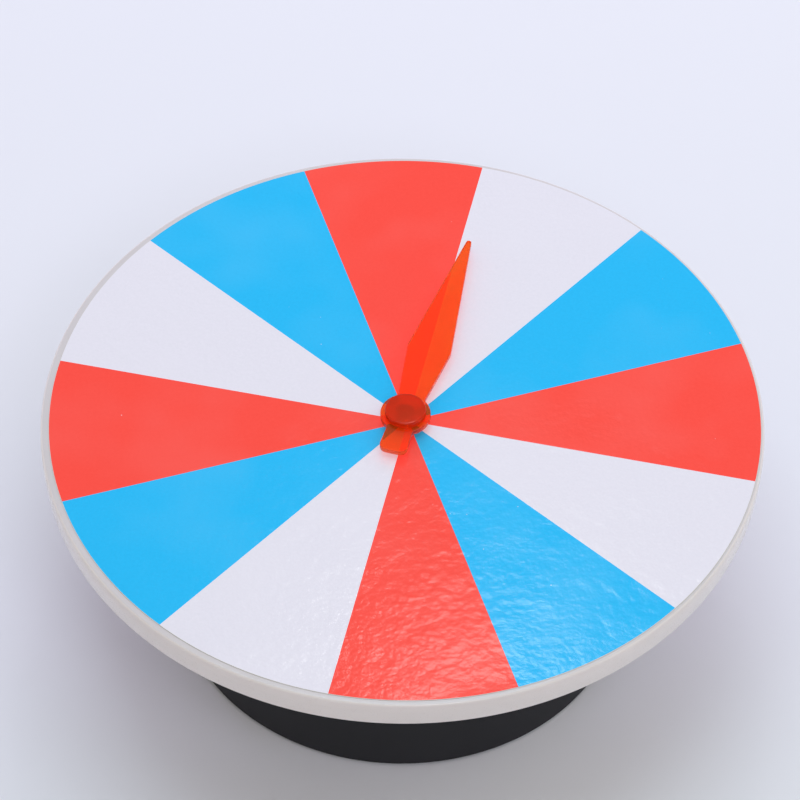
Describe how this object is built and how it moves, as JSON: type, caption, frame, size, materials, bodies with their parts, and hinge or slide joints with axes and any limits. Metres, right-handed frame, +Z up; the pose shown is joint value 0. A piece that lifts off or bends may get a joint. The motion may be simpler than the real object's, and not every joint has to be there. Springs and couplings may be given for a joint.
{
  "type": "game spinner",
  "caption": "Round dial with red, white and blue sectors that turns on a black pedestal, and an orange pointer that spins freely on a pin at its centre.",
  "frame": {"origin": "on the table at the feet's lowest face, on the axis that the dial and the pointer turn on", "axes": "+Z up along the turning axis; -Y is the side that faces the person who looks at the pointer with its tip away from them"},
  "size_m": [0.2414, 0.2414, 0.0957],
  "materials": {
    "black_plastic": "black moulded plastic, fine satin texture",
    "foot_rubber": "dull black rubber",
    "zinc_steel": "zinc-plated steel",
    "bearing_steel": "ground and polished bearing steel",
    "cage_brass": "pressed brass, satin",
    "spring_steel": "blackened spring steel",
    "white_plastic": "off-white moulded plastic, soft gloss, slightly translucent",
    "nylon": "natural nylon",
    "laminated_paper": "white printed paper under a clear gloss laminate",
    "red_print": "red print under a clear gloss laminate",
    "blue_print": "sky-blue print under a clear gloss laminate",
    "orange_plastic": "translucent orange-red moulded plastic, glossy",
    "bush_brass": "turned brass"
  },
  "bodies": {
    "pedestal": {"pedestal_shell": "black_plastic", "bottom_cover": "black_plastic", "bottom_cover_screws": "zinc_steel", "foot_1": "foot_rubber", "foot_2": "foot_rubber", "foot_3": "foot_rubber", "foot_4": "foot_rubber", "spindle": "zinc_steel", "spindle_washer": "zinc_steel", "spindle_nut": "zinc_steel", "bearing_lower_race": "bearing_steel", "dial_washer": "zinc_steel", "dial_retaining_ring": "spring_steel"},
    "bearing_cage": {"bearing_cage": "cage_brass", "bearing_balls": "bearing_steel"},
    "dial": {"dial_plate": "white_plastic", "dial_bush": "nylon", "bearing_upper_race": "bearing_steel", "hub_cover": "white_plastic", "dial_label": "laminated_paper", "red_sectors": "red_print", "blue_sectors": "blue_print", "pointer_pin": "zinc_steel", "pointer_spacer": "nylon", "pin_clip": "spring_steel"},
    "pointer": {"pointer": "orange_plastic", "pointer_bush": "bush_brass", "pointer_cap": "orange_plastic"}
  },
  "joints": [
    {"name": "dial_turn", "type": "hinge", "parent": "pedestal", "child": "dial", "pos_m": [0, 0, 0.0768], "axis": [0, 0, 1], "continuous": true},
    {"name": "bearing_roll", "type": "hinge", "parent": "pedestal", "child": "bearing_cage", "pos_m": [0, 0, 0.0718], "axis": [0, 0, 1], "continuous": true},
    {"name": "pointer_spin", "type": "hinge", "parent": "dial", "child": "pointer", "pos_m": [0.0009, -0.0003, 0.0925], "axis": [0, 0, 1], "continuous": true}
  ],
  "couplings": [
    {"joint": "bearing_roll", "follows": "dial_turn", "ratio": 0.5}
  ]
}
